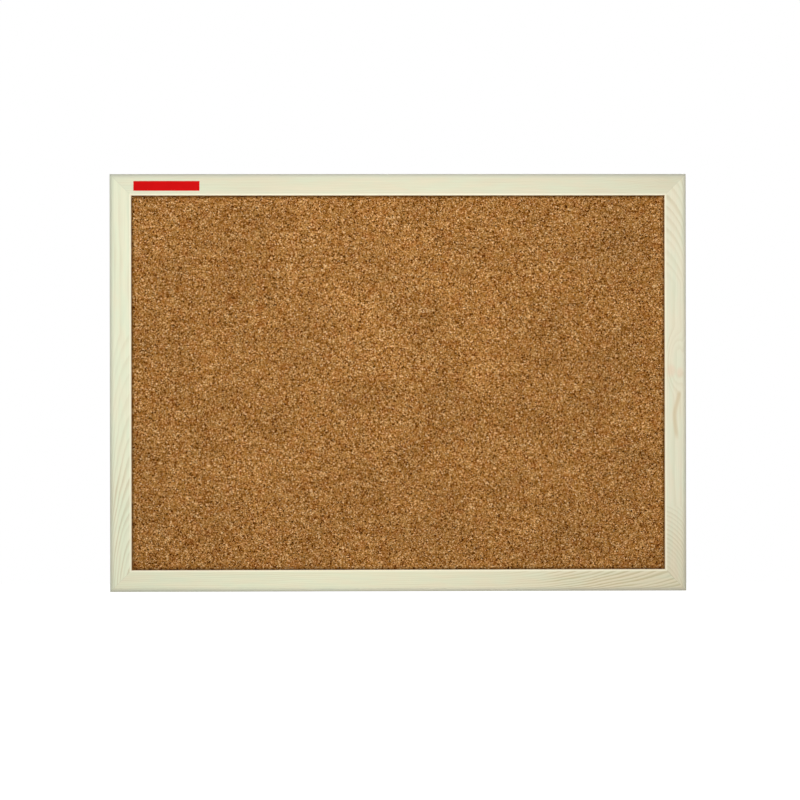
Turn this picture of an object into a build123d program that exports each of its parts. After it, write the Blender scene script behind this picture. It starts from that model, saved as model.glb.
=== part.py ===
from build123d import *
import os
from math import asin, cos, degrees, radians, sin, sqrt

# A cork bulletin board. Four mitred pine mouldings hold a panel of three layers in the rebate
# behind their front lip, and two folding ring hangers are screwed to the backs of the stiles.
# Millimetres. +X is to the right as seen from the front, +Z is up, and the front faces -Y.
# The origin is the middle of the board on the wall plane, where the rear bumpers end.

# Board
board_width = 700.0
board_height = 507.0

# Section of the frame moulding
rail_width = 26.5
lip_thickness = 4.0
rebate_width = 6.0
outer_edge_radius = 7.0
sight_edge_radius = 0.5
rear_edge_radius = 0.8

# Panel, from front to back, and what stays empty behind it in the rebate
cork_thickness = 2.0
core_thickness = 5.0
backing_thickness = 2.5
back_recess = 1.5
panel_clearance = 0.5

# V-shaped nails across each mitre, driven in from the back
nails_per_corner = 2
nail_wing = 6.0
nail_half_angle = 55.0
nail_thickness = 0.5
nail_depth = 8.0
nail_margin = 1.5

# Flat steel points that keep the panel in the rebate
points_on_rail = 4
points_on_stile = 3
point_width = 6.0
point_thickness = 0.5
point_grip = 6.0
point_tip = 2.5
point_reach = 8.0

# Ring hangers: a strip folded round the bar of a wire ring
hanger_below_top = 100.0
strap_width = 10.0
strap_thickness = 0.8
strap_notch_radius = 0.6
strap_hole_clearance = 0.25
strap_end_flat = 0.5
wire_radius = 1.0
eye_clearance = 0.05
ring_reach = 15.0
ring_corner_radius = 2.2
ring_side_gap = 0.8
ring_rest_gap = 0.25

# Pan-head screws of the hangers
screw_radius = 1.75
screw_length = 12.0
screw_tip = 3.0
screw_head_radius = 3.4
screw_head_height = 2.0
screw_head_rim = 0.7
screw_hole_clearance = 0.05
screw_ring_gap = 1.6
recess_length = 3.6
recess_width = 0.7
recess_depth = 1.1

# Rear bumpers
bumper_radius = 5.0
bumper_edge_radius = 0.8
bumper_above_bottom = 34.0
wall_clearance = 0.3

# Plain label on the top rail
label_length = 80.0
label_height = 11.8
label_thickness = 0.15
label_corner_radius = 0.5
label_from_sight_corner = 3.0
label_above_sight_edge = 5.6

# Sizes that follow from those above
rebate_depth = cork_thickness + core_thickness + backing_thickness + back_recess
rail_depth = lip_thickness + rebate_depth
back_width = rail_width - rebate_width
panel_width = board_width - 2 * (back_width + panel_clearance)
panel_height = board_height - 2 * (back_width + panel_clearance)
eye_radius = wire_radius + eye_clearance
eye_outer_radius = eye_radius + strap_thickness
strap_stack = 2 * strap_thickness
bumper_height = max(2 * eye_outer_radius, strap_stack + screw_head_height) + wall_clearance
back_y = -bumper_height
front_y = back_y - rail_depth
hanger_x = (board_width - back_width) / 2
hanger_z = board_height / 2 - hanger_below_top
hinge_y = back_y + eye_outer_radius
bar_half_length = strap_width / 2 + ring_side_gap
ring_half_width = bar_half_length + ring_corner_radius
screw_below_hinge = ring_reach + wire_radius + screw_ring_gap + screw_head_radius
rest_offset = strap_stack + ring_rest_gap + wire_radius - eye_outer_radius
raised_offset = eye_outer_radius - wire_radius - ring_rest_gap
ring_rest_tilt = degrees(asin(rest_offset / ring_reach))
ring_raised_tilt = degrees(asin(raised_offset / ring_reach))
ring_range = 180.0 + ring_raised_tilt - ring_rest_tilt

# Each side runs round the frame: its name, its turn about Y, its length, its distance from the
# middle of the board, and how many points hold the panel along it.
sides = [
    ("bottom_rail", 0, board_width, board_height / 2, points_on_rail),
    ("right_stile", 90, board_height, board_width / 2, points_on_stile),
    ("top_rail", 180, board_width, board_height / 2, points_on_rail),
    ("left_stile", 270, board_height, board_width / 2, points_on_stile),
]
corner_names = ["bottom_right", "top_right", "top_left", "bottom_left"]
# Which way from the middle the left and right hangers and bumpers lie.
hands = {"left": -1, "right": 1}


def along(turn):
    """Direction in which a side runs."""
    return Vector(cos(radians(turn)), 0, sin(radians(turn)))


def inward(turn):
    """Direction from a side's outer edge to the middle of the board."""
    return Vector(-sin(radians(turn)), 0, cos(radians(turn)))


def outer_middle(turn, distance, y):
    """Middle of a side's outer edge, at a depth y."""
    return inward(turn) * -distance + Vector(0, y, 0)


def save(piece, name):
    """Label a finished piece and write it to its own file."""
    piece.part.label = name
    export_step(piece.part, f"parts/{name}.step")


def point_spots(length, count):
    """Places of the points along a side, evenly spread over the panel's edge."""
    pitch = (length - 2 * back_width) / count
    return [(i - (count - 1) / 2) * pitch for i in range(count)]


def corner_plane(turn, length, distance):
    """Back face at the corner where a side ends: x runs in along the mitre, z to the front."""
    corner = outer_middle(turn, distance, back_y) + along(turn) * (length / 2)
    return Plane(origin=corner, x_dir=inward(turn) - along(turn), z_dir=(0, -1, 0))


def drive_nails(plane, mode):
    """The V-shaped nails of one corner, as solids or as the slots that they cut."""
    out = nail_wing * cos(radians(nail_half_angle))
    aside = nail_wing * sin(radians(nail_half_angle))
    wall = nail_thickness / sin(radians(nail_half_angle))
    reach = (out + wall + aside) / sqrt(2)
    pitch = (back_width - reach - 2 * nail_margin) / nails_per_corner
    spots = [(sqrt(2) * (nail_margin + (i + 0.5) * pitch), 0) for i in range(nails_per_corner)]
    outline = [
        (0, 0),
        (out, aside),
        (out + wall, aside),
        (wall, 0),
        (out + wall, -aside),
        (out, -aside),
    ]
    with BuildSketch(plane) as wedges:
        with Locations(*spots):
            Polygon(*outline, align=None)
    extrude(wedges.sketch, amount=nail_depth, mode=mode)


def drive_points(turn, length, distance, count, mode):
    """The flat points along one side, as solids or as the slots that they cut."""
    origin = outer_middle(turn, distance, back_y - back_recess)
    half = point_width / 2
    outline = [
        (point_reach, -half),
        (point_reach, half),
        (point_tip - point_grip, half),
        (-point_grip, 0),
        (point_tip - point_grip, -half),
    ]
    with BuildSketch(Plane(origin=origin, x_dir=inward(turn), z_dir=(0, 1, 0))) as strips:
        with Locations(*[(back_width, spot) for spot in point_spots(length, count)]):
            Polygon(*outline, align=None)
    extrude(strips.sketch, amount=point_thickness, mode=mode)


def neighbours(turn):
    """Turn, length and distance of the sides that end at this side's two corners."""
    return [side[1:4] for side in sides if side[1] in (turn, (turn - 90) % 360)]


def screw_seat(hand, y):
    """Point on the axis of a hanger's screw, at a depth y."""
    return Vector(hand * hanger_x, y, hanger_z - screw_below_hinge)


def frame_member(name, turn, length, distance, count):
    """A length of moulding with mitred ends, and slots where nails and points go in."""
    middle = outer_middle(turn, distance, back_y)
    section_plane = Plane(origin=middle, x_dir=inward(turn), z_dir=along(turn))
    with BuildPart() as member:
        with BuildSketch(section_plane) as section:
            Rectangle(rail_width, rail_depth, align=Align.MIN)
            with Locations((rail_width, 0)):
                Rectangle(
                    rebate_width, rebate_depth, align=(Align.MAX, Align.MIN), mode=Mode.SUBTRACT
                )
            fillet(section.vertices().group_by(Axis.Y)[-1].sort_by(Axis.X)[0], outer_edge_radius)
            fillet(section.vertices().group_by(Axis.Y)[-1].sort_by(Axis.X)[-1], sight_edge_radius)
            fillet(section.vertices().group_by(Axis.Y)[0].sort_by(Axis.X)[0], rear_edge_radius)
        extrude(amount=length / 2, both=True)
        for end in (-1, 1):
            corner = middle + along(turn) * (end * length / 2)
            mitre = Plane(origin=corner, z_dir=inward(turn) + along(turn) * end)
            split(bisect_by=mitre, keep=Keep.BOTTOM)
        for corner_turn, corner_length, corner_distance in neighbours(turn):
            drive_nails(corner_plane(corner_turn, corner_length, corner_distance), Mode.SUBTRACT)
        drive_points(turn, length, distance, count, Mode.SUBTRACT)
        if name in ("left_stile", "right_stile"):
            hand = hands[name.removesuffix("_stile")]
            with BuildSketch(Plane(origin=screw_seat(hand, back_y), z_dir=(0, -1, 0))):
                Circle(screw_radius + screw_hole_clearance)
            hole_depth = screw_length - strap_stack + screw_hole_clearance
            extrude(amount=hole_depth, mode=Mode.SUBTRACT)
    save(member, name)


def panel_layer(name, gap_in_front, thickness):
    """One layer of the panel, its front face a given way behind the back of the lip."""
    face_y = front_y + lip_thickness + gap_in_front
    with BuildPart() as layer:
        with BuildSketch(Plane(origin=(0, face_y, 0), x_dir=(-1, 0, 0), z_dir=(0, 1, 0))):
            Rectangle(panel_width, panel_height)
        extrude(amount=thickness)
    save(layer, name)


def hanger_strap(name, hand):
    """A steel strip folded round the ring's bar, its two legs lying together on the stile."""
    seat = Plane(
        origin=(hand * hanger_x, back_y, hanger_z), x_dir=(0, 1, 0), z_dir=(1, 0, 0)
    )
    strap_end = screw_below_hinge + strap_width / 2
    with BuildPart() as strap:
        with BuildSketch(seat) as side_view:
            with Locations((eye_outer_radius, 0)):
                Circle(eye_outer_radius)
            Rectangle(strap_stack, strap_end, align=(Align.MIN, Align.MAX))
            notch = (strap_stack, -eye_outer_radius)
            fillet(side_view.vertices().sort_by_distance(notch)[0], strap_notch_radius)
            with Locations((eye_outer_radius, 0)):
                Circle(eye_radius, mode=Mode.SUBTRACT)
        extrude(amount=strap_width / 2, both=True)
        end_corners = strap.edges().filter_by(Axis.Y).group_by(Axis.Z)[0]
        fillet(end_corners, (strap_width - strap_end_flat) / 2)
        with BuildSketch(Plane(origin=screw_seat(hand, back_y), z_dir=(0, 1, 0))):
            Circle(screw_radius + strap_hole_clearance)
        extrude(amount=strap_stack, mode=Mode.SUBTRACT)
    save(strap, name)


def hanger_ring(name, hand):
    """A wire ring whose straight bar turns in the strap's eye, hanging down over the strap."""
    tilt = radians(ring_rest_tilt)
    ring_plane = Plane(
        origin=(hand * hanger_x, hinge_y, hanger_z), x_dir=(1, 0, 0), z_dir=(0, cos(tilt), sin(tilt))
    )
    bend_y = ring_reach - ring_half_width
    with BuildPart() as ring:
        with BuildLine(ring_plane) as path:
            Line((-bar_half_length, 0), (bar_half_length, 0))
            CenterArc((bar_half_length, ring_corner_radius), ring_corner_radius, -90, 90)
            Line((ring_half_width, ring_corner_radius), (ring_half_width, bend_y))
            CenterArc((0, bend_y), ring_half_width, 0, 180)
            Line((-ring_half_width, bend_y), (-ring_half_width, ring_corner_radius))
            CenterArc((-bar_half_length, ring_corner_radius), ring_corner_radius, 180, 90)
        with BuildSketch(Plane(origin=path.line @ 0, z_dir=path.line % 0)):
            Circle(wire_radius)
        sweep(path=path.line)
    save(ring, name)


def screw_dome_radius():
    """Radius of the domed top, which meets the screw's axis at a right angle."""
    rise = screw_head_height - screw_head_rim
    return (screw_head_radius**2 + rise**2) / (2 * rise)


def hanger_screw(name, hand):
    """A pan-head screw through the strap into the stile, with a cross recess."""
    seat = screw_seat(hand, back_y + strap_stack)
    with BuildPart() as screw:
        with BuildSketch(Plane(origin=seat, x_dir=(1, 0, 0), z_dir=(0, 0, 1))):
            with BuildLine():
                Polyline(
                    (0, screw_head_height),
                    (0, -screw_length),
                    (screw_radius, screw_tip - screw_length),
                    (screw_radius, 0),
                    (screw_head_radius, 0),
                    (screw_head_radius, screw_head_rim),
                )
                RadiusArc(
                    (screw_head_radius, screw_head_rim), (0, screw_head_height), -screw_dome_radius()
                )
            make_face()
        revolve(axis=Axis(seat, (0, 1, 0)))
        top = Plane(origin=seat + Vector(0, screw_head_height, 0), z_dir=(0, -1, 0))
        with BuildSketch(top):
            Rectangle(recess_length, recess_width)
            Rectangle(recess_width, recess_length)
        extrude(amount=recess_depth, mode=Mode.SUBTRACT)
    save(screw, name)


def bumper(name, hand):
    """A round rubber bumper stuck on the back of a stile, near the bottom."""
    foot = (hand * hanger_x, back_y, bumper_above_bottom - board_height / 2)
    with BuildPart() as pad:
        with BuildSketch(Plane(origin=foot, z_dir=(0, 1, 0))):
            Circle(bumper_radius)
        extrude(amount=bumper_height)
        fillet(pad.edges().group_by(Axis.Y)[-1], bumper_edge_radius)
    save(pad, name)


def front_label():
    """A plain self-adhesive label on the front of the top rail, near its left end."""
    left = -board_width / 2 + rail_width + label_from_sight_corner
    bottom = board_height / 2 - rail_width + label_above_sight_edge
    middle = (left + label_length / 2, front_y, bottom + label_height / 2)
    with BuildPart() as label:
        with BuildSketch(Plane(origin=middle, x_dir=(1, 0, 0), z_dir=(0, -1, 0))):
            RectangleRounded(label_length, label_height, label_corner_radius)
        extrude(amount=label_thickness)
    save(label, "front_label")


os.makedirs("parts", exist_ok=True)

for side in sides:
    frame_member(*side)

panel_layer("cork_sheet", 0, cork_thickness)
panel_layer("softboard_core", cork_thickness, core_thickness)
panel_layer("hardboard_back", cork_thickness + core_thickness, backing_thickness)

for corner_name, side in zip(corner_names, sides):
    with BuildPart() as corner_nails:
        drive_nails(corner_plane(*side[1:4]), Mode.ADD)
    save(corner_nails, f"corner_nails_{corner_name}")

for side_name, turn, length, distance, count in sides:
    with BuildPart() as panel_points:
        drive_points(turn, length, distance, count, Mode.ADD)
    save(panel_points, f"panel_points_{side_name.split('_')[0]}")

for hand_name, hand in hands.items():
    hanger_strap(f"hanger_strap_{hand_name}", hand)
    hanger_ring(f"hanger_ring_{hand_name}", hand)
    hanger_screw(f"hanger_screw_{hand_name}", hand)
    bumper(f"bumper_{hand_name}", hand)

front_label()

print(f"ring turns from 0 to {ring_range:.2f} degrees about x at y={hinge_y:.3f}, z={hanger_z:.3f}")
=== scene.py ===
from math import radians, tau

import bpy
import numpy as np
from mathutils import Matrix, Vector


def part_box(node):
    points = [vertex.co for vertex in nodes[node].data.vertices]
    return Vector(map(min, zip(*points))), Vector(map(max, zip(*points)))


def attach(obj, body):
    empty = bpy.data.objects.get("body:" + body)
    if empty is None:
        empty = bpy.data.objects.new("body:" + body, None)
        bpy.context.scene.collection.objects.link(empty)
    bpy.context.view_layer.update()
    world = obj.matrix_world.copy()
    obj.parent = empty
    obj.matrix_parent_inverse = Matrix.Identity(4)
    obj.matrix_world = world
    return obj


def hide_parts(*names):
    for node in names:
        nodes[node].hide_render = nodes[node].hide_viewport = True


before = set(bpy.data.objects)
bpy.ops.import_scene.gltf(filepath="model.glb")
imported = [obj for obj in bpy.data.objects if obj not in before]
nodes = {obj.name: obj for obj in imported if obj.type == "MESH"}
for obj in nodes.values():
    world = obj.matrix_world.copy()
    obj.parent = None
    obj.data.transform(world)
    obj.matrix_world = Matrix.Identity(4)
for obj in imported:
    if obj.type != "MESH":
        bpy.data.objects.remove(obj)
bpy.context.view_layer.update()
MM = 0.001

# Corners of the frame members and of the cork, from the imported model
BOARD_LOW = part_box("left_stile")[0]
BOARD_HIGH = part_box("right_stile")[1]
FRONT_Y = BOARD_LOW.y
CORK_LOW, CORK_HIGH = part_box("cork_sheet")

# Width of the moulding, as in the model, and the edges of the opening
RAIL_WIDTH = 26.5 * MM
SIGHT_X = BOARD_HIGH.x - RAIL_WIDTH
SIGHT_Z = BOARD_HIGH.z - RAIL_WIDTH

# Camera: a long lens, nearly square to the board. Angles are in degrees.
CAMERA_PLACE = (-0.0286, -2.6, -0.0211)
CAMERA_YAW = 0.676
CAMERA_ROLL = -0.0897
CAMERA_LENS = 95.84
SENSOR_WIDTH = 36.0
VIEW_DISTANCE = 50.0

# Stage: the level of the ambient light, and what lifts the floor to white for the camera
FLOOR_Z = -0.85
FLOOR_SIZE = 14.0
FLOOR_GREY = (0.8, 0.8, 0.8, 1)
FLOOR_LIFT = 0.85
AMBIENT = 0.30
WHITE = (1, 1, 1, 1)


def linear(red, green, blue):
    """Linear colour from the 0 to 255 values of a screen colour."""
    def channel(value):
        share = value / 255
        return share / 12.92 if share <= 0.04045 else ((share + 0.055) / 1.055) ** 2.4
    return (channel(red), channel(green), channel(blue), 1.0)


class Graph:
    """A material whose nodes are added one call each. Sockets and plain values mix freely."""

    def __init__(self, name):
        self.material = bpy.data.materials.new(name)
        self.material.use_nodes = True
        self.tree = self.material.node_tree
        self.shader = self.tree.nodes["Principled BSDF"]
        self.place = self.node("ShaderNodeTexCoord").outputs["Object"]

    def node(self, kind, inputs=None, **settings):
        made = self.tree.nodes.new(kind)
        for key, value in settings.items():
            setattr(made, key, value)
        for key, value in (inputs or {}).items():
            self.put(made.inputs[key], value)
        return made

    def put(self, socket, value):
        if isinstance(value, bpy.types.NodeSocket):
            self.tree.links.new(value, socket)
        else:
            socket.default_value = value

    def math(self, operation, *values, clamp=False):
        inputs = dict(enumerate(values))
        made = self.node("ShaderNodeMath", inputs, operation=operation, use_clamp=clamp)
        return made.outputs[0]

    def plus(self, first, second):
        return self.math("ADD", first, second)

    def minus(self, first, second):
        return self.math("SUBTRACT", first, second)

    def times(self, first, second):
        return self.math("MULTIPLY", first, second)

    def vector_math(self, operation, *values):
        inputs = dict(enumerate(values))
        return self.node("ShaderNodeVectorMath", inputs, operation=operation).outputs[0]

    def length(self, vector):
        return self.node("ShaderNodeVectorMath", {0: vector}, operation="LENGTH").outputs["Value"]

    def split(self, vector):
        return self.node("ShaderNodeSeparateXYZ", {0: vector}).outputs

    def join(self, x, y, z):
        return self.node("ShaderNodeCombineXYZ", {0: x, 1: y, 2: z}).outputs[0]

    def noise(self, vector, scale, detail=2.0, roughness=0.5, colour=False):
        inputs = {"Vector": vector, "Scale": scale, "Detail": detail, "Roughness": roughness}
        made = self.node("ShaderNodeTexNoise", inputs)
        return made.outputs["Color" if colour else "Fac"]

    def cells(self, vector, size, feature="F1"):
        """Random cells of about a size in metres."""
        inputs = {"Vector": vector, "Scale": 1 / size, "Randomness": 1.0}
        settings = dict(feature=feature, voronoi_dimensions="3D")
        return self.node("ShaderNodeTexVoronoi", inputs, **settings).outputs

    def spread(self, value, low, high, to_low=0.0, to_high=1.0, smooth=False):
        """The value's place between low and high, held at the ends, as a number between two others."""
        inputs = {"Value": value, 1: low, 2: high, 3: to_low, 4: to_high}
        kind = "SMOOTHSTEP" if smooth else "LINEAR"
        return self.node("ShaderNodeMapRange", inputs, interpolation_type=kind).outputs[0]

    def mix(self, share, first, second, blend="MIX"):
        made = self.node("ShaderNodeMix", data_type="RGBA", blend_type=blend)
        self.put(made.inputs["Factor"], share)
        self.put(made.inputs[6], first)
        self.put(made.inputs[7], second)
        return made.outputs[2]

    def blend_numbers(self, share, first, second):
        made = self.node("ShaderNodeMix", {0: share, 2: first, 3: second}, data_type="FLOAT")
        return made.outputs[0]

    def tint(self, colour, share, amount, other):
        """The colour moved towards another by share times amount."""
        return self.mix(self.times(share, amount), colour, other)

    def dim(self, colour, factor):
        """The colour times a plain number."""
        return self.mix(1.0, colour, self.join(factor, factor, factor), "MULTIPLY")

    def ramp(self, value, stops):
        made = self.node("ShaderNodeValToRGB", {"Fac": value})
        elements = made.color_ramp.elements
        while len(elements) < len(stops):
            elements.new(0.5)
        for element, (position, colour) in zip(elements, stops):
            element.position = position
            element.color = colour
        return made.outputs["Color"]

    def finish(self, colour, roughness, height, bump_distance, specular=0.5):
        self.put(self.shader.inputs["Base Color"], colour)
        self.put(self.shader.inputs["Specular IOR Level"], specular)
        self.put(self.shader.inputs["Roughness"], roughness)
        bump = self.node("ShaderNodeBump", {"Height": height, "Distance": bump_distance})
        self.put(self.shader.inputs["Normal"], bump.outputs[0])
        return self.material


# How the trunk lay behind each member, and how its wood is coloured. Lengths are metres along the
# member (its x or z) and across it, from its outer edge. The pith runs at "across" and at "depth"
# behind the face, and the rings are "spacing" apart. Each dive (from, to, shift) takes the pith
# deeper, which slants and arches the rings on the face. Bold stretches (from, to, amount) add to
# the rings' contrast. The tone drifts (from, to, tone) to another one along the member. A knot is
# (along, across, radius, blush). The rim is how much painted shade the outer rounding gets, as a
# share of the way to the grey OUTER_RIM_SHADE.
GRAIN = {
    "top_rail": dict(
        across=0.075,
        depth=0.014,
        spacing=0.0019,
        seed=3.0,
        contrast=0.34,
        tone=(226, 222, 194),
        drift=(-0.18, -0.32, (237, 238, 209)),
        rim=0.52,
        dives=[(0.20, 0.36, 0.016)],
        bold=[(0.24, 0.33, 0.15)],
        knots=[(0.327, 0.0105, 0.0030, 0.08)],
    ),
    "bottom_rail": dict(
        across=0.040,
        depth=0.006,
        spacing=0.0024,
        seed=11.0,
        contrast=0.36,
        tone=(239, 238, 206),
        drift=(-0.12, 0.36, (230, 217, 185)),
        rim=0.42,
        dives=[(0.10, 0.38, 0.046)],
        bold=[(0.12, 0.27, 1.9)],
        knots=[],
    ),
    "left_stile": dict(
        across=0.031,
        depth=0.005,
        spacing=0.0028,
        seed=23.0,
        contrast=0.32,
        tone=(242, 244, 214),
        drift=None,
        rim=0.26,
        dives=[(-0.27, -0.15, 0.022), (-0.15, 0.06, 0.024)],
        bold=[(-0.02, -0.16, 0.50)],
        knots=[],
    ),
    "right_stile": dict(
        across=0.033,
        depth=0.005,
        spacing=0.0024,
        seed=31.0,
        contrast=0.40,
        tone=(239, 234, 207),
        drift=(-0.14, -0.27, (224, 211, 180)),
        rim=0.28,
        dives=[(-0.28, -0.15, 0.058), (0.12, 0.27, 0.026)],
        bold=[(0.12, 0.20, 0.20), (-0.10, -0.20, 0.40)],
        knots=[(0.0250, 0.0130, 0.0060, 0.0)],
    ),
}

LATE_WOOD = linear(201, 185, 142)
WARM_WOOD = linear(236, 224, 196)
COOL_WOOD = linear(222, 230, 203)
KNOT_BLUSH = linear(205, 170, 130)
# Painted highlight: a pale band along the sight edge that stands in for the light the edge catches
ARRIS_HIGHLIGHT = linear(255, 250, 222)
# Painted light: the inner wall of the opening, made pale where it lies in shade
SIGHT_WALL_LIGHT = linear(255, 238, 205)
# Painted shade: the grey that the outer rounding is darkened towards, standing in for its fall-off in
# light
OUTER_RIM_SHADE = linear(193, 195, 183)

# Pinkish spots on the right stile: metres up it, metres across it from its outer edge, radius
PINK_SPOTS = [(0.0139, 0.0187, 0.0078), (0.0120, 0.0082, 0.0062)]
PINK_WOOD = linear(238, 208, 178)
PINK_AMOUNT = 0.42

# The tan streak below them runs from top to bottom, starts at a place across the stile, bows
# inwards by its middle and comes back a little. All are metres.
STREAK_TOP = -0.0090
STREAK_BOTTOM = -0.0720
STREAK_START = 0.0091
STREAK_BOW = 0.0056
STREAK_BACK = -0.0026
STREAK_HALF_WIDTH = 0.0022
STREAK_FADE_IN = 0.006
STREAK_FADE_OUT = 0.012
STREAK_WOOD = linear(212, 190, 146)
STREAK_AMOUNT = 0.56

# Noise cells per metre along and across the fibres
FIBRES_ALONG = 14.0
FIBRES_ACROSS = 700.0
MEMBER_BEVEL = 0.12 * MM


def member_axes(graph, name):
    """Place in a member: along it, across it from the outer edge, and behind its front face."""
    x, y, z = graph.split(graph.place)
    behind = graph.minus(y, FRONT_Y)
    if name == "top_rail":
        return x, graph.minus(BOARD_HIGH.z, z), behind
    if name == "bottom_rail":
        return x, graph.minus(z, BOARD_LOW.z), behind
    if name == "left_stile":
        return z, graph.minus(x, BOARD_LOW.x), behind
    return z, graph.minus(BOARD_HIGH.x, x), behind


def mitre_distance(graph, name, across):
    """Distance from the nearer mitre joint, measured along the member."""
    x, _, z = graph.split(graph.place)
    if name.endswith("rail"):
        to_end = graph.minus(BOARD_HIGH.x, graph.math("ABSOLUTE", x))
    else:
        to_end = graph.minus(BOARD_HIGH.z, graph.math("ABSOLUTE", z))
    return graph.math("ABSOLUTE", graph.minus(to_end, across))


def near_place(graph, along, across, place, radius, stretch):
    """1 at a place on a member's face, falling to 0 about a radius away, or further along the grain."""
    beside = graph.minus(across, place[1])
    beyond = graph.times(graph.minus(along, place[0]), stretch)
    away = graph.length(graph.join(beyond, beside, 0.0))
    return graph.spread(away, 0.25 * radius, radius, 1.0, 0.0, smooth=True)


def ring_distance(graph, place, grain):
    """Distance from the pith, bent by its dives, a slow sway and the knots, and the knots' blush."""
    along, across, behind = place
    depth = grain["depth"]
    for start, end, shift in grain["dives"]:
        depth = graph.plus(depth, graph.spread(along, start, end, 0.0, shift))
    sway_at = graph.join(graph.times(along, 7.0), graph.times(across, 12.0), grain["seed"])
    sway = graph.times(graph.minus(graph.noise(sway_at, 1.0, 3.0), 0.5), 0.009)
    aside = graph.minus(across, graph.plus(sway, grain["across"]))
    deep = graph.plus(behind, depth)
    square = graph.plus(graph.times(aside, aside), graph.times(deep, deep))
    distance = graph.math("SQRT", square)
    blush = 0.0
    for knot_along, knot_across, radius, amount in grain["knots"]:
        near = near_place(graph, along, across, (knot_along, knot_across), 2.6 * radius, 0.35)
        distance = graph.plus(distance, graph.times(near, 1.1 * radius))
        blush = graph.plus(blush, graph.times(near, amount))
    return distance, blush


def fine_fibres(graph, place):
    """Fine streaks along the member, 0 to 1."""
    along, across, behind = place
    fibres_at = graph.join(
        graph.times(along, FIBRES_ALONG),
        graph.times(across, FIBRES_ACROSS),
        graph.times(behind, FIBRES_ACROSS),
    )
    return graph.noise(fibres_at, 1.0, 3.0, 0.6)


def late_wood(graph, along, distance, fibres, grain):
    """How strongly the dark part of a growth ring shows: a slow rise and a quick fall per ring."""
    patches_at = graph.join(graph.times(along, 11.0), graph.times(distance, 230.0), grain["seed"])
    patches = graph.noise(patches_at, 1.0, 2.0)
    rings = graph.math("DIVIDE", distance, grain["spacing"])
    rings = graph.plus(rings, graph.times(fibres, 0.22))
    rings = graph.plus(rings, graph.times(patches, 0.8))
    share = graph.math("FRACT", rings)
    rise = graph.spread(share, 0.30, 0.84, smooth=True)
    fall = graph.spread(share, 0.88, 1.0, 1.0, 0.0, smooth=True)
    contrast = grain["contrast"]
    for start, end, amount in grain["bold"]:
        bolder = graph.spread(along, start, end, 0.0, amount, smooth=True)
        contrast = graph.plus(contrast, bolder)
    contrast = graph.times(contrast, graph.spread(patches, 0.28, 0.70, 0.25, 1.3))
    return graph.times(graph.times(rise, fall), contrast)


def wood_colour(graph, place, late, fibres, grain):
    """The member's own tone with its rings, warmer and cooler patches, and fine fibres."""
    along, across, _ = place
    tone = linear(*grain["tone"])
    if grain["drift"]:
        start, end, far_tone = grain["drift"]
        tone = graph.mix(graph.spread(along, start, end), tone, linear(*far_tone))
    colour = graph.mix(graph.math("MULTIPLY", late, 0.7, clamp=True), tone, LATE_WOOD)
    patch_at = graph.join(graph.times(along, 22.0), graph.times(across, 90.0), grain["seed"])
    patch = graph.noise(patch_at, 1.0, 2.0)
    colour = graph.mix(graph.spread(patch, 0.40, 0.70, 0.0, 0.34), colour, WARM_WOOD)
    colour = graph.mix(graph.spread(patch, 0.58, 0.30, 0.0, 0.40), colour, COOL_WOOD)
    return graph.dim(colour, graph.plus(0.925, graph.times(fibres, 0.15)))


def resin_streak(graph, along, across):
    """The tan streak that bows across the grain of the right stile, 0 to 1."""
    middle = (STREAK_TOP + STREAK_BOTTOM) / 2
    bowed = STREAK_START + STREAK_BOW
    course = graph.spread(along, STREAK_TOP, middle, STREAK_START, bowed, smooth=True)
    back = graph.spread(along, middle, STREAK_BOTTOM, 0.0, STREAK_BACK, smooth=True)
    course = graph.plus(course, back)
    aside = graph.math("ABSOLUTE", graph.minus(across, course))
    width = STREAK_HALF_WIDTH
    near = graph.spread(aside, 0.2 * width, 1.8 * width, 1.0, 0.0, smooth=True)
    fade_in = graph.spread(along, STREAK_TOP, STREAK_TOP - STREAK_FADE_IN, smooth=True)
    fade_out = graph.spread(along, STREAK_BOTTOM, STREAK_BOTTOM + STREAK_FADE_OUT, smooth=True)
    return graph.times(near, graph.times(fade_in, fade_out))


def stile_marks(graph, along, across, colour):
    """The pinkish spots and the tan streak half-way up the right stile."""
    for spot_along, spot_across, radius in PINK_SPOTS:
        spot = near_place(graph, along, across, (spot_along, spot_across), radius, 0.7)
        colour = graph.tint(colour, spot, PINK_AMOUNT, PINK_WOOD)
    return graph.tint(colour, resin_streak(graph, along, across), STREAK_AMOUNT, STREAK_WOOD)


def edge_tones(graph, name, place, colour, rim):
    """Painted highlight on the sight edge, painted light on the inner wall, painted shade on the outer
    rounding, and thin dark mitre seams.
    """
    _, across, behind = place
    # Painted highlight along the sight edge of the opening
    arris_highlight = graph.spread(across, RAIL_WIDTH - 2.6 * MM, RAIL_WIDTH - 1.5 * MM, smooth=True)
    colour = graph.tint(colour, arris_highlight, 0.85, ARRIS_HIGHLIGHT)
    # Painted light on the shaded inner wall of the opening
    wall_light = graph.spread(across, RAIL_WIDTH - 0.25 * MM, RAIL_WIDTH - 0.05 * MM)
    colour = graph.mix(wall_light, colour, SIGHT_WALL_LIGHT)
    # Painted shade on the outer rounding, as strong as the member's rim share
    rim_shade_mask = graph.spread(across, 7.0 * MM, 0.5 * MM, smooth=True)
    in_front = graph.spread(behind, 4.0 * MM, 7.5 * MM, 1.0, 0.0, smooth=True)
    colour = graph.tint(colour, graph.times(rim_shade_mask, in_front), rim, OUTER_RIM_SHADE)
    seam_distance = mitre_distance(graph, name, across)
    return graph.dim(colour, graph.spread(seam_distance, 0.10 * MM, 0.50 * MM, 0.86, 1.0))


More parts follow.
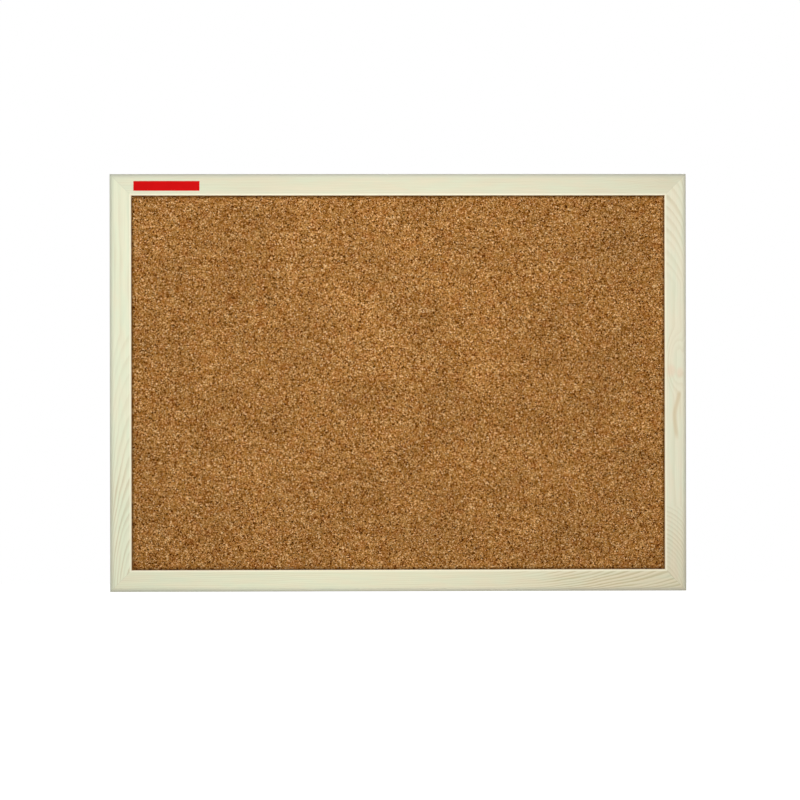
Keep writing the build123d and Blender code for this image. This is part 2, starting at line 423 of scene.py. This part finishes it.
def pine(name):
    """Pale planed pine, with growth rings, fibres, slow shifts of tint, and painted light and shade on
    its edges.
    """
    grain = GRAIN[name]
    graph = Graph(f"pine_{name}")
    place = member_axes(graph, name)
    along, across, _ = place
    distance, blush = ring_distance(graph, place, grain)
    fibres = fine_fibres(graph, place)
    late = late_wood(graph, along, distance, fibres, grain)
    colour = wood_colour(graph, place, late, fibres, grain)
    colour = graph.mix(blush, colour, KNOT_BLUSH)
    if name == "right_stile":
        colour = stile_marks(graph, along, across, colour)
    colour = edge_tones(graph, name, place, colour, grain["rim"])
    height = graph.plus(graph.times(fibres, 0.6), graph.times(late, 0.5))
    roughness = graph.spread(fibres, 0.2, 0.8, 0.50, 0.66)
    return graph.finish(colour, roughness, height, 0.06 * MM, specular=0.3)


# Cork: sizes of its granules and crumbs, and its browns from the darkest to the palest
GRANULE = 1.4 * MM
CRUMB = 0.72 * MM
CORK_BROWNS = [
    (0.00, linear(54, 18, 0)),
    (0.10, linear(96, 46, 6)),
    (0.35, linear(159, 100, 36)),
    (0.65, linear(200, 142, 73)),
    (0.90, linear(234, 182, 116)),
    (1.00, linear(248, 212, 156)),
]
BARK_SPECK = linear(58, 26, 5)
GRANULE_SEAM = linear(84, 44, 10)
REDDER_CORK = linear(178, 98, 46)
GREENER_CORK = linear(150, 112, 50)


def ragged_flat(graph):
    """Place on the cork's face, shaken a little so that the granules get ragged outlines."""
    x, y, z = graph.split(graph.place)
    flat = graph.join(x, z, graph.times(y, 0.35))
    shake = graph.noise(flat, 700.0, 2.0, 0.6, colour=True)
    shake = graph.vector_math("SUBTRACT", shake, (0.5, 0.5, 0.5))
    shake = graph.vector_math("MULTIPLY", shake, (1.2 * MM, 1.2 * MM, 0.0))
    return graph.vector_math("ADD", flat, shake)


def granules(graph, flat):
    """The granules' tone, dark bark specks, dark seams, and the fine noise in them."""
    coarse = graph.split(graph.cells(flat, GRANULE)["Color"])
    fine = graph.split(graph.cells(flat, CRUMB)["Color"])
    seam_distance = graph.cells(flat, GRANULE, "DISTANCE_TO_EDGE")["Distance"]
    crumbly = graph.spread(coarse[2], 0.42, 0.48)
    tone = graph.blend_numbers(crumbly, coarse[0], fine[0])
    noise = graph.noise(flat, 1500.0, 2.0, 0.7)
    tone = graph.plus(tone, graph.times(graph.minus(noise, 0.5), 0.5))
    speck = graph.times(graph.spread(fine[1], 0.925, 0.94), graph.spread(coarse[1], 0.3, 0.4))
    seam = graph.spread(seam_distance, 0.0, 0.09, 1.0, 0.0, smooth=True)
    return tone, speck, seam, noise


def cork_shifts(graph, colour):
    """Slow shifts of the cork's hue and brightness, and painted shade along its margin next to the
    frame's lip.
    """
    x, _, z = graph.split(graph.place)
    hue = graph.noise(graph.join(x, z, 9.0), 75.0, 2.0)
    colour = graph.mix(graph.spread(hue, 0.50, 0.75, 0.0, 0.24), colour, REDDER_CORK)
    colour = graph.mix(graph.spread(hue, 0.50, 0.25, 0.0, 0.15), colour, GREENER_CORK)
    cloud = graph.noise(graph.join(x, z, 4.0), 14.0, 3.0, 0.5)
    colour = graph.dim(colour, graph.spread(cloud, 0.25, 0.75, 0.86, 1.14))
    from_side = graph.minus(SIGHT_X, graph.math("ABSOLUTE", x))
    from_rail = graph.minus(SIGHT_Z, graph.math("ABSOLUTE", z))
    from_edge = graph.math("MINIMUM", from_side, from_rail)
    # Painted shade: the cork darkens towards the frame's lip, as the shadow in the recess would fall
    lip_shade = graph.spread(from_edge, 0.4 * MM, 4.6 * MM, 0.38, 1.0, smooth=True)
    return graph.dim(colour, lip_shade)


def cork():
    """Pressed cork granules: uneven grains of many browns, dark bark specks and dark seams."""
    graph = Graph("cork_granules")
    tone, speck, seam, noise = granules(graph, ragged_flat(graph))
    colour = graph.ramp(tone, CORK_BROWNS)
    colour = graph.tint(colour, speck, 0.75, BARK_SPECK)
    colour = graph.tint(colour, seam, 0.62, GRANULE_SEAM)
    colour = cork_shifts(graph, colour)
    height = graph.minus(graph.times(tone, 0.6), seam)
    height = graph.plus(height, graph.times(noise, 0.4))
    roughness = graph.spread(tone, 0.0, 1.0, 0.95, 0.82)
    return graph.finish(colour, roughness, height, 0.18 * MM, specular=0.04)


def hardboard():
    """The screened back of hardboard: brown, flecked with fibres, with a fine woven imprint."""
    graph = Graph("hardboard_screen_back")
    x, _, z = graph.split(graph.place)
    screen_pitch = 1.6 * MM
    wave_x = graph.math("SINE", graph.times(x, tau / screen_pitch))
    wave_z = graph.math("SINE", graph.times(z, tau / screen_pitch))
    weave = graph.times(wave_x, wave_z)
    flecks = graph.noise(graph.join(x, z, 7.0), 420.0, 4.0, 0.65)
    clouds = graph.noise(graph.join(x, z, 2.0), 9.0, 3.0)
    dark, pale = linear(104, 74, 48), linear(139, 103, 70)
    colour = graph.mix(graph.spread(flecks, 0.3, 0.7), dark, pale)
    colour = graph.mix(graph.spread(clouds, 0.3, 0.7, 0.0, 0.35), colour, linear(92, 62, 40))
    colour = graph.mix(graph.spread(weave, -1.0, 1.0, 0.0, 0.16), colour, linear(72, 48, 30))
    height = graph.plus(graph.times(weave, -0.5), flecks)
    return graph.finish(colour, graph.spread(flecks, 0.2, 0.8, 0.72, 0.9), height, 0.12 * MM)


def softboard():
    """Loosely felted wood fibre."""
    graph = Graph("softboard_fibre")
    fibres = graph.noise(graph.place, 900.0, 4.0, 0.7)
    dark, pale = linear(168, 146, 112), linear(203, 182, 146)
    colour = graph.mix(graph.spread(fibres, 0.3, 0.7), dark, pale)
    return graph.finish(colour, 0.95, fibres, 0.2 * MM)


def zinc():
    """Bright zinc plating, slightly cloudy, with fine upright scratches."""
    graph = Graph("zinc_plate")
    clouds = graph.noise(graph.place, 260.0, 3.0, 0.6)
    scratches_at = graph.vector_math("MULTIPLY", graph.place, (2600.0, 2600.0, 180.0))
    scratches = graph.noise(scratches_at, 1.0, 2.0)
    dark, pale = linear(152, 155, 160), linear(184, 185, 184)
    colour = graph.mix(graph.spread(clouds, 0.3, 0.7), dark, pale)
    graph.shader.inputs["Metallic"].default_value = 1.0
    cloudy = graph.spread(clouds, 0.3, 0.7, 0.20, 0.32)
    roughness = graph.plus(cloudy, graph.times(scratches, 0.10))
    return graph.finish(colour, roughness, scratches, 0.01 * MM)


def rubber():
    """Matt dark rubber with a fine moulded grain."""
    graph = Graph("bumper_rubber")
    grain = graph.noise(graph.place, 2200.0, 3.0)
    dark, pale = linear(38, 38, 40), linear(56, 56, 58)
    colour = graph.mix(graph.spread(grain, 0.3, 0.7), dark, pale)
    return graph.finish(colour, graph.spread(grain, 0.2, 0.8, 0.6, 0.8), grain, 0.05 * MM)


def label_film():
    """Plain red self-adhesive film, glossy, with a faint orange-peel."""
    graph = Graph("label_red_film")
    peel = graph.noise(graph.place, 900.0, 2.0)
    ink = graph.noise(graph.place, 60.0, 3.0)
    dark, pale = linear(210, 2, 4), linear(218, 5, 8)
    colour = graph.mix(graph.spread(ink, 0.3, 0.7), dark, pale)
    roughness = graph.spread(peel, 0.2, 0.8, 0.30, 0.40)
    return graph.finish(colour, roughness, peel, 0.02 * MM, specular=0.12)


def paint(names, material):
    """Put one material on CAD nodes."""
    for name in names:
        mesh = nodes[name].data
        mesh.materials.clear()
        mesh.materials.append(material)


def ease_edges(name, width):
    """Break a CAD node's sharp edges with a small bevel, without touching its mesh."""
    piece = nodes[name]
    weld = piece.modifiers.new("weld", "WELD")
    weld.merge_threshold = 0.002 * MM
    bevel = piece.modifiers.new("ease", "BEVEL")
    bevel.width = width
    bevel.segments = 2
    bevel.limit_method = "ANGLE"
    bevel.angle_limit = radians(40)
    bevel.use_clamp_overlap = True
    bevel.harden_normals = False


# The cork's relief: its points' spacing and how far each may stray, as a share of it, and how
# deep the pits between granules go below the front plane
RELIEF_SEED = 7
RELIEF_STEP = 1.95 * MM
RELIEF_STRAY = 0.36
PIT_SHAPE = 2.0
PIT_SCALE = 0.038
PIT_DEEPEST = 0.30 * MM
HIDDEN_DEPTH = 0.02 * MM
UNDER_LIP = 1.5 * MM


def relief_points():
    """The cork's front as a grid of points, pitted where it shows and flat under the frame."""
    rng = np.random.default_rng(RELIEF_SEED)
    count_x = int(round((CORK_HIGH.x - CORK_LOW.x) / RELIEF_STEP)) + 1
    count_z = int(round((CORK_HIGH.z - CORK_LOW.z) / RELIEF_STEP)) + 1
    xs = np.linspace(CORK_LOW.x, CORK_HIGH.x, count_x)
    zs = np.linspace(CORK_LOW.z, CORK_HIGH.z, count_z)
    grid_x, grid_z = np.meshgrid(xs, zs, indexing="ij")
    inner = np.zeros_like(grid_x, dtype=bool)
    inner[1:-1, 1:-1] = True
    stray = rng.uniform(-RELIEF_STRAY, RELIEF_STRAY, (2, count_x, count_z)) * RELIEF_STEP
    grid_x = grid_x + stray[0] * inner
    grid_z = grid_z + stray[1] * inner
    pits = rng.gamma(PIT_SHAPE, PIT_SCALE, (count_x, count_z)) * MM
    pits = np.minimum(pits, PIT_DEEPEST)
    seen = (np.abs(grid_x) < SIGHT_X + UNDER_LIP) & (np.abs(grid_z) < SIGHT_Z + UNDER_LIP)
    depth = np.where(seen, pits, HIDDEN_DEPTH)
    return np.stack([grid_x, CORK_LOW.y + depth, grid_z], -1)


def cork_relief(material):
    """The cork sheet with its grainy face as real relief, one closed mesh."""
    grid = relief_points()
    count_x, count_z = grid.shape[:2]
    front = grid.reshape(-1, 3)
    index = np.arange(count_x * count_z).reshape(count_x, count_z)
    corners = [index[:-1, :-1], index[1:, :-1], index[1:, 1:], index[:-1, 1:]]
    quads = np.stack(corners, -1).reshape(-1, 4)
    rim = np.concatenate([index[:-1, 0], index[-1, :-1], index[:0:-1, -1], index[0, :0:-1]])
    back = front[rim].copy()
    back[:, 1] = CORK_HIGH.y
    first_back = len(front)
    walls = []
    for i in range(len(rim)):
        after = (i + 1) % len(rim)
        walls.append([rim[after], rim[i], first_back + i, first_back + after])
    back_face = list(range(first_back + len(rim) - 1, first_back - 1, -1))
    mesh = bpy.data.meshes.new("cork_face")
    points = np.concatenate([front, back]).tolist()
    mesh.from_pydata(points, [], quads.tolist() + walls + [back_face])
    smooth = [True] * len(quads) + [False] * (len(walls) + 1)
    mesh.polygons.foreach_set("use_smooth", smooth)
    mesh.materials.append(material)
    mesh.validate()
    piece = bpy.data.objects.new("cork_face", mesh)
    bpy.context.scene.collection.objects.link(piece)
    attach(piece, "board")
    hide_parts("cork_sheet")


def softbox(name, place, target, size, power, in_reflections=True):
    """A rectangular studio light aimed at a point."""
    data = bpy.data.lights.new(name, "AREA")
    data.shape = "RECTANGLE"
    data.size, data.size_y = size
    data.energy = power
    lamp = bpy.data.objects.new(name, data)
    lamp.location = place
    lamp.rotation_euler = (Vector(target) - Vector(place)).to_track_quat("-Z", "Y").to_euler()
    lamp.visible_camera = False
    lamp.visible_glossy = in_reflections
    bpy.context.scene.collection.objects.link(lamp)


def seen_directly(tree):
    """1 for rays from the camera, in a mirror or through glass, and 0 for light on surfaces."""
    path = tree.nodes.new("ShaderNodeLightPath")
    total = path.outputs["Is Camera Ray"]
    for name in ("Is Glossy Ray", "Is Transmission Ray"):
        larger = tree.nodes.new("ShaderNodeMath")
        larger.operation = "MAXIMUM"
        tree.links.new(total, larger.inputs[0])
        tree.links.new(path.outputs[name], larger.inputs[1])
        total = larger.outputs[0]
    return total


def world_light():
    """White where it is seen, and a plain soft level where it lights things."""
    world = bpy.data.worlds.new("studio")
    bpy.context.scene.world = world
    world.use_nodes = True
    tree = world.node_tree
    background = tree.nodes["Background"]
    background.inputs["Color"].default_value = WHITE
    strength = tree.nodes.new("ShaderNodeMapRange")
    strength.inputs["To Min"].default_value = AMBIENT
    strength.inputs["To Max"].default_value = 1.0
    tree.links.new(seen_directly(tree), strength.inputs["Value"])
    tree.links.new(strength.outputs[0], background.inputs["Strength"])


def floor_material():
    """A pale matt floor that looks white where it is seen and still takes the shadow."""
    material = bpy.data.materials.new("pale_floor")
    material.use_nodes = True
    tree = material.node_tree
    tree.nodes.remove(tree.nodes["Principled BSDF"])
    diffuse = tree.nodes.new("ShaderNodeBsdfDiffuse")
    diffuse.inputs["Color"].default_value = FLOOR_GREY
    strength = tree.nodes.new("ShaderNodeMath")
    strength.operation = "MULTIPLY"
    strength.inputs[1].default_value = FLOOR_LIFT
    tree.links.new(seen_directly(tree), strength.inputs[0])
    lift = tree.nodes.new("ShaderNodeEmission")
    tree.links.new(strength.outputs[0], lift.inputs["Strength"])
    both = tree.nodes.new("ShaderNodeAddShader")
    tree.links.new(diffuse.outputs[0], both.inputs[0])
    tree.links.new(lift.outputs[0], both.inputs[1])
    tree.links.new(both.outputs[0], tree.nodes["Material Output"].inputs["Surface"])
    return material


def pale_floor():
    """A wide level floor well below the board."""
    half = FLOOR_SIZE / 2
    outline = [(-half, -half), (half, -half), (half, half), (-half, half)]
    mesh = bpy.data.meshes.new("floor")
    mesh.from_pydata([(x, y, FLOOR_Z) for x, y in outline], [], [(0, 1, 2, 3)])
    mesh.materials.append(floor_material())
    floor = bpy.data.objects.new("floor", mesh)
    bpy.context.scene.collection.objects.link(floor)


def add_camera():
    """The camera looks along +y, turned a little about z and rolled a little about its own axis."""
    data = bpy.data.cameras.new("camera")
    data.lens = CAMERA_LENS
    data.sensor_width = SENSOR_WIDTH
    data.clip_end = VIEW_DISTANCE
    camera = bpy.data.objects.new("camera", data)
    turn = Matrix.Rotation(radians(-CAMERA_YAW), 4, "Z") @ Matrix.Rotation(radians(90), 4, "X")
    turn = turn @ Matrix.Rotation(radians(CAMERA_ROLL), 4, "Z")
    camera.matrix_world = Matrix.Translation(CAMERA_PLACE) @ turn
    bpy.context.scene.collection.objects.link(camera)
    bpy.context.scene.camera = camera


bpy.context.scene.view_settings.view_transform = "Standard"
add_camera()
world_light()
pale_floor()

# Softboxes: place, target, size and power in watts. The ones near the front and sides stay out of
# reflections, so that they light the board evenly and leave no glare on it.
softbox("front", (-0.01, -0.95, 0.10), (0, 0, 0.05), (0.4, 0.3), 4.9, in_reflections=False)
softbox("key", (-0.05, -1.25, 1.0), (0, 0, 0.02), (1.1, 0.7), 5.5)
softbox("left_fill", (-1.7, 0.35, 0.5), (-0.35, 0, 0), (0.8, 1.0), 2.6, in_reflections=False)
softbox("right_fill", (1.7, 0.35, 0.5), (0.35, 0, 0), (0.8, 1.0), 2.6, in_reflections=False)
softbox("back_fill", (0.5, 2.2, 1.0), (0, 0, 0), (1.6, 1.2), 30)

for member in GRAIN:
    paint([member], pine(member))
    ease_edges(member, MEMBER_BEVEL)
cork_relief(cork())
paint(["hardboard_back"], hardboard())
paint(["softboard_core"], softboard())
steel = [name for name in nodes if name.startswith(("corner_nails", "panel_points", "hanger_"))]
paint(steel, zinc())
paint(["bumper_left", "bumper_right"], rubber())
paint(["front_label"], label_film())
